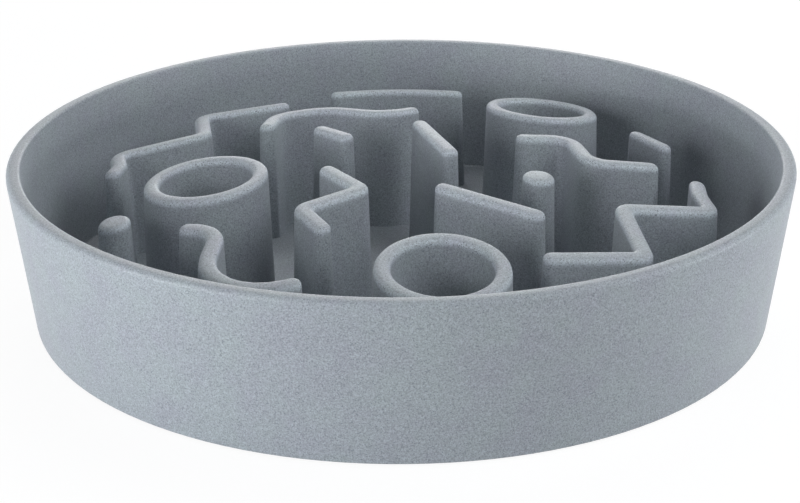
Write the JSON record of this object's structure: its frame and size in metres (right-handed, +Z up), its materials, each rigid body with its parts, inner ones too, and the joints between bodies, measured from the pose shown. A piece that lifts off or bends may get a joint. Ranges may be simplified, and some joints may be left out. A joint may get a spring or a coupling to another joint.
{
  "type": "slow feeder bowl",
  "caption": "Round slow feeder bowl with a maze of drafted ridges, rings and posts on its bottom, rubber feet underneath.",
  "frame": {"origin": "middle of the plane that the rubber feet stand on", "axes": "+Z up, +Y towards the back of the bowl, +X to the right as seen in the picture"},
  "size_m": [0.28, 0.28, 0.0573],
  "materials": {
    "moulding": "matt, slate grey-blue with fine dark and light specks",
    "rubber": "matt non-slip rubber"
  },
  "bodies": {
    "root": {"bowl_shell": "moulding", "zigzag_back_left": "moulding", "wave_back": "moulding", "arc_back": "moulding", "stub_left": "moulding", "zigzag_centre": "moulding", "wave_front_left": "moulding", "stub_centre": "moulding", "bar_centre": "moulding", "step_right": "moulding", "stub_right": "moulding", "zigzag_right": "moulding", "ring_left": "moulding", "ring_back_right": "moulding", "ring_front": "moulding", "post_left": "moulding", "post_right": "moulding", "foot_1": "rubber", "foot_2": "rubber", "foot_3": "rubber", "foot_4": "rubber", "foot_5": "rubber", "foot_6": "rubber"}
  },
  "joints": []
}
